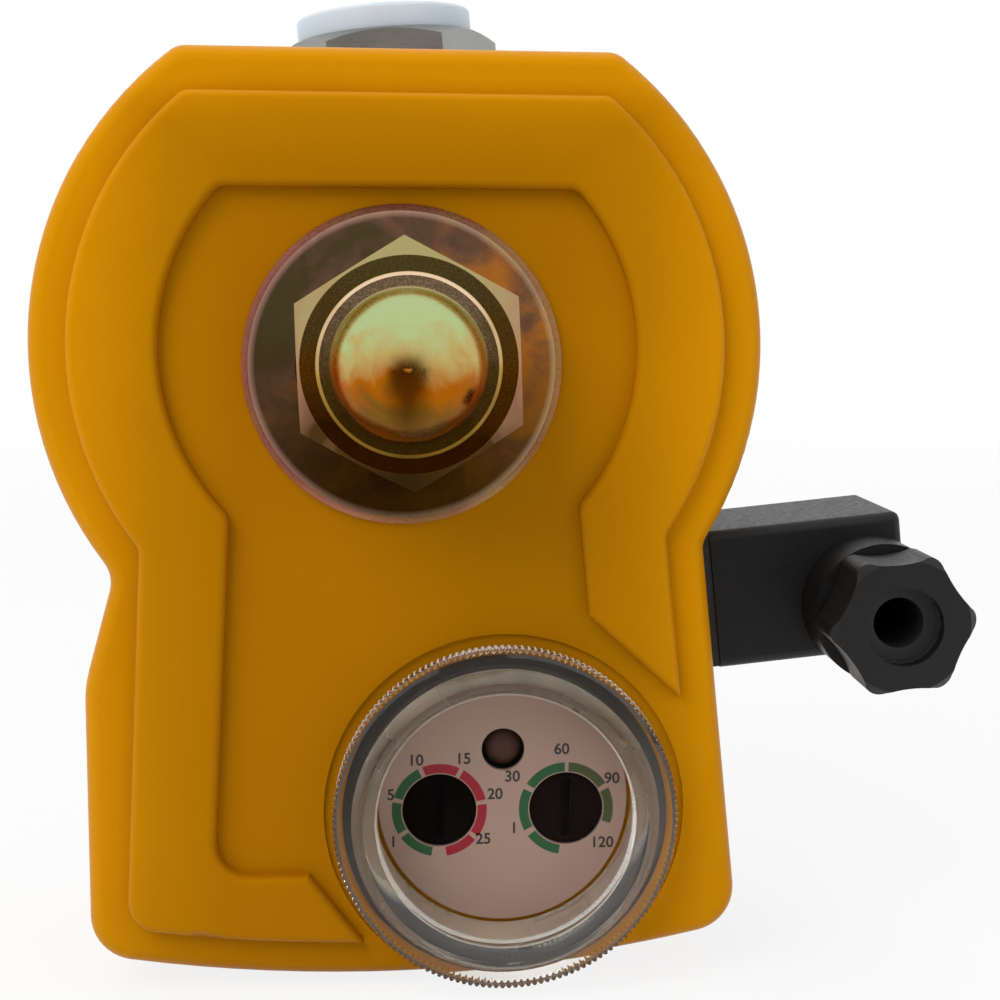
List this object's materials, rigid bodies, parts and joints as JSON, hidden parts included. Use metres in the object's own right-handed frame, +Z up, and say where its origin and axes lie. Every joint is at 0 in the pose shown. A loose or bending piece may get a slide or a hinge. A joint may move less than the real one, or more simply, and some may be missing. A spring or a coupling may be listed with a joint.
{
  "type": "automatic drain valve",
  "caption": "Timer-controlled solenoid drain valve: moulded housing with coil and timer on a threaded pipe body, dome nut, clear screw cap over the dial, side cable connector.",
  "frame": {"origin": "point on the inlet port's axis where the inlet thread starts", "axes": "+Z up along the upright housing, +X to the right towards the cable connector, +Y from the front panel to the back"},
  "size_m": [0.1091, 0.0907, 0.1214],
  "materials": {
    "yellow_housing": "satin",
    "black_plastic": "matte",
    "nickel_brass": "satin",
    "stainless": "satin",
    "plated_steel": "satin",
    "zinc_steel": "satin",
    "copper": "satin",
    "copper_wire": "gloss",
    "bobbin_plastic": "matte",
    "seal_rubber": "matte",
    "clear_cap": "gloss",
    "dust_plug": "satin",
    "dial_print": "satin",
    "knob_plastic": "gloss",
    "lamp_lens": "gloss",
    "pot_case": "matte",
    "circuit_board": "satin",
    "insert_plastic": "matte"
  },
  "bodies": {
    "valve": {"valve_body": "nickel_brass", "armature_tube": "stainless", "tube_seal": "seal_rubber", "fixed_core": "stainless", "shading_ring": "copper", "return_spring": "stainless"},
    "plunger": {"plunger": "stainless", "plunger_seal": "seal_rubber"},
    "inlet_plug": {"inlet_dust_plug": "dust_plug"},
    "housing": {"housing_shell": "yellow_housing", "back_cover": "yellow_housing", "cover_screws": "zinc_steel", "coil_bobbin": "bobbin_plastic", "coil_winding": "copper_wire", "coil_yoke": "zinc_steel", "coil_seal": "seal_rubber", "timer_board": "circuit_board", "on_time_potentiometer": "pot_case", "cycle_time_potentiometer": "pot_case", "dial_plate": "dial_print", "status_lamp": "lamp_lens", "connector_base": "black_plastic", "connector_pins": "nickel_brass"},
    "washer": {"nut_washer": "plated_steel"},
    "nut": {"dome_nut": "plated_steel"},
    "cap_gasket": {"lens_gasket": "seal_rubber"},
    "cap": {"lens_cap": "clear_cap"},
    "on_time": {"on_time_knob": "knob_plastic"},
    "cycle_time": {"cycle_time_knob": "knob_plastic"},
    "connector": {"connector_gasket": "seal_rubber", "connector_housing": "black_plastic", "connector_insert": "insert_plastic", "gland_bush": "seal_rubber"},
    "screw": {"connector_screw": "zinc_steel"},
    "gland_ring": {"gland_washer": "zinc_steel"},
    "gland": {"gland_nut": "black_plastic"}
  },
  "joints": [
    {"name": "plunger_lift", "type": "slide", "parent": "valve", "child": "plunger", "axis": [0, -1, 0], "range_m": [0, 0.0025], "stiffness_N_per_m": 300, "springref_m": -0.008, "deforming": ["return_spring"]},
    {"name": "inlet_plug_pull", "type": "slide", "parent": "valve", "child": "inlet_plug", "axis": [-0.0924, 0, 0.9957], "range_m": [0, 0.04]},
    {"name": "housing_swivel", "type": "hinge", "parent": "valve", "child": "housing", "pos_m": [0.0036, -0.0335, -0.03883], "axis": [0, 1, 0], "continuous": true},
    {"name": "nut_travel", "type": "slide", "parent": "valve", "child": "washer", "axis": [0, -1, 0], "range_m": [0, 0.0101]},
    {"name": "nut_turn", "type": "hinge", "parent": "washer", "child": "nut", "pos_m": [0.0036, -0.0615, -0.03883], "axis": [0, -1, 0], "range_deg": [0, 1800]},
    {"name": "cap_travel", "type": "slide", "parent": "housing", "child": "cap_gasket", "axis": [0, -1, 0], "range_m": [0, 0.0071]},
    {"name": "cap_turn", "type": "hinge", "parent": "cap_gasket", "child": "cap", "pos_m": [0.0145, -0.0555, -0.09193], "axis": [0, -1, 0], "range_deg": [0, 1260]},
    {"name": "on_time_turn", "type": "hinge", "parent": "housing", "child": "on_time", "pos_m": [0.0068, -0.0475, -0.09328], "axis": [0, 1, 0], "range_deg": [-125, 125]},
    {"name": "cycle_time_turn", "type": "hinge", "parent": "housing", "child": "cycle_time", "pos_m": [0.0222, -0.0475, -0.09328], "axis": [0, 1, 0], "range_deg": [-121, 121]},
    {"name": "connector_pull", "type": "slide", "parent": "housing", "child": "connector", "axis": [0.9945, 0, 0.1045], "range_m": [0, 0.02]},
    {"name": "screw_turn", "type": "hinge", "parent": "connector", "child": "screw", "pos_m": [0.05872, -0.031, -0.06714], "axis": [0.9945, 0, 0.1045], "continuous": true},
    {"name": "gland_travel", "type": "slide", "parent": "connector", "child": "gland_ring", "axis": [0, -1, 0], "range_m": [0, 0.005]},
    {"name": "gland_turn", "type": "hinge", "parent": "gland_ring", "child": "gland", "pos_m": [0.06075, -0.0555, -0.06924], "axis": [0, -1, 0], "range_deg": [0, 1420]}
  ],
  "couplings": [
    {"joint": "nut_travel", "follows": "nut_turn", "m_per_rad": 0.00031831},
    {"joint": "cap_travel", "follows": "cap_turn", "m_per_rad": 0.00031831},
    {"joint": "gland_turn", "follows": "gland_travel", "rad_per_m": 4947.4}
  ]
}
